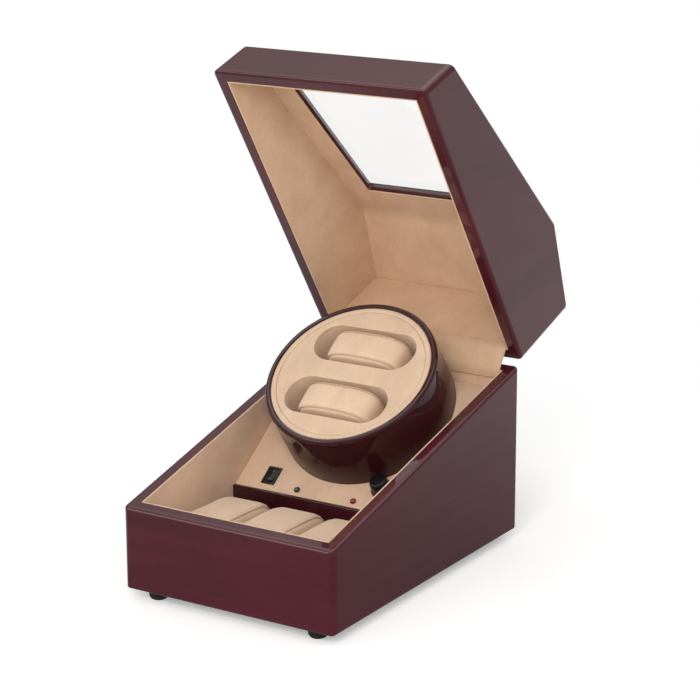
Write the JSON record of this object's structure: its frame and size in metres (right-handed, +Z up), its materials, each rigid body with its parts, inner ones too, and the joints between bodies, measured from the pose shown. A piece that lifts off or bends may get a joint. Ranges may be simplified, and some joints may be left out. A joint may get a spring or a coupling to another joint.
{
  "type": "watch winder box",
  "caption": "Lacquered desktop watch winder: a hinged glazed lid over a tilted motor-driven drum with watch slots, a small control panel and a cushioned storage tray.",
  "frame": {"origin": "centre of the case's flat underside; the rubber feet stand below it", "axes": "+Z up, +Y towards the hinged rear, front of the box faces -Y, +X to the right as seen from the front"},
  "size_m": [0.184, 0.3504, 0.3917],
  "materials": {
    "lacquered_wood": "high-gloss burgundy lacquer over faint wood grain",
    "suede": "beige suede-like nap over thin board",
    "cushion_suede": "beige suede-like nap over foam",
    "bare_board": "dark painted board",
    "black_plastic": "satin black moulded plastic",
    "rubber": "matte",
    "steel": "zinc plated",
    "brass": "plated, lightly brushed",
    "glass": "clear, polished",
    "gear_nylon": "natural nylon",
    "circuit_board": "solder resist",
    "green_lens": "unlit green lens",
    "red_lens": "lit red lens"
  },
  "bodies": {
    "base": {"base_case": "lacquered_wood", "bottom_panel": "bare_board", "access_cover": "black_plastic", "access_cover_screws": "steel", "rubber_feet": "rubber", "foot_screws": "steel", "base_lining_left": "suede", "base_lining_right": "suede", "base_lining_front": "suede", "base_lining_rear": "suede", "tray_floor_pad": "suede", "tray_divider": "lacquered_wood", "inclined_panel": "suede", "panel_battens": "bare_board", "hinge_leaves_base": "brass", "hinge_pins": "brass", "hinge_screws_base": "brass", "hinge_cover_strip": "suede", "drum_housing": "lacquered_wood", "housing_floor": "black_plastic", "housing_screws": "steel", "spindle_bush": "brass", "motor_plate": "steel", "plate_standoffs": "brass", "drive_screws": "steel", "gear_motor": "steel", "control_board": "circuit_board", "rocker_switch_body": "black_plastic", "led_green": "green_lens", "led_red": "red_lens", "mode_switch_body": "black_plastic", "power_jack": "black_plastic", "power_jack_nut": "steel"},
    "lid": {"lid_shell": "lacquered_wood", "window_pane": "glass", "window_bead": "lacquered_wood", "lid_lining_left": "suede", "lid_lining_right": "suede", "lid_lining_front": "suede", "lid_lining_roof": "suede", "lid_lining_rear": "suede", "hinge_leaves_lid": "brass", "hinge_screws_lid": "brass"},
    "drum": {"drum_cup": "black_plastic", "drum_insert": "suede", "drum_face_ring": "suede", "drum_face_disc": "suede", "drum_spindle": "steel", "spindle_clip": "steel", "drum_gear": "gear_nylon"},
    "upper_cushion": {"drum_cushion_upper": "cushion_suede"},
    "lower_cushion": {"drum_cushion_lower": "cushion_suede"},
    "pinion": {"motor_shaft": "steel", "motor_pinion": "brass"},
    "rocker": {"rocker_button": "black_plastic"},
    "mode_knob": {"mode_switch_shaft_and_knob": "black_plastic"},
    "left_cushion": {"storage_cushion_left": "cushion_suede"},
    "middle_cushion": {"storage_cushion_middle": "cushion_suede"},
    "right_cushion": {"storage_cushion_right": "cushion_suede"}
  },
  "joints": [
    {"name": "lid_hinge", "type": "hinge", "parent": "base", "child": "lid", "pos_m": [0, 0.1384, 0.1324], "axis": [1, 0, 0], "range_deg": [0, 71.4], "deforming": ["hinge_cover_strip"]},
    {"name": "drum_spin", "type": "hinge", "parent": "base", "child": "drum", "pos_m": [0, 0.0331, 0.1391], "axis": [0, -0.5948, 0.8039], "continuous": true},
    {"name": "pinion_spin", "type": "hinge", "parent": "base", "child": "pinion", "pos_m": [-0.02546, 0.01264, 0.12396], "axis": [0, -0.5948, 0.8039], "continuous": true},
    {"name": "upper_cushion_lift", "type": "slide", "parent": "drum", "child": "upper_cushion", "axis": [0, -0.5948, 0.8039], "range_m": [0, 0.025]},
    {"name": "lower_cushion_lift", "type": "slide", "parent": "drum", "child": "lower_cushion", "axis": [0, -0.5948, 0.8039], "range_m": [0, 0.025]},
    {"name": "left_cushion_lift", "type": "slide", "parent": "base", "child": "left_cushion", "axis": [0, 0, 1], "range_m": [0, 0.045]},
    {"name": "middle_cushion_lift", "type": "slide", "parent": "base", "child": "middle_cushion", "axis": [0, 0, 1], "range_m": [0, 0.045]},
    {"name": "right_cushion_lift", "type": "slide", "parent": "base", "child": "right_cushion", "axis": [0, 0, 1], "range_m": [0, 0.045]},
    {"name": "rocker_press", "type": "hinge", "parent": "base", "child": "rocker", "pos_m": [-0.053, 0.00383, 0.05425], "axis": [1, 0, 0], "range_deg": [0, 10]},
    {"name": "mode_knob_turn", "type": "hinge", "parent": "base", "child": "mode_knob", "pos_m": [0.0445, 0.00846, 0.05892], "axis": [0, -0.5948, 0.8039], "range_deg": [0, 90]}
  ],
  "couplings": [
    {"joint": "pinion_spin", "follows": "drum_spin", "ratio": -3}
  ]
}
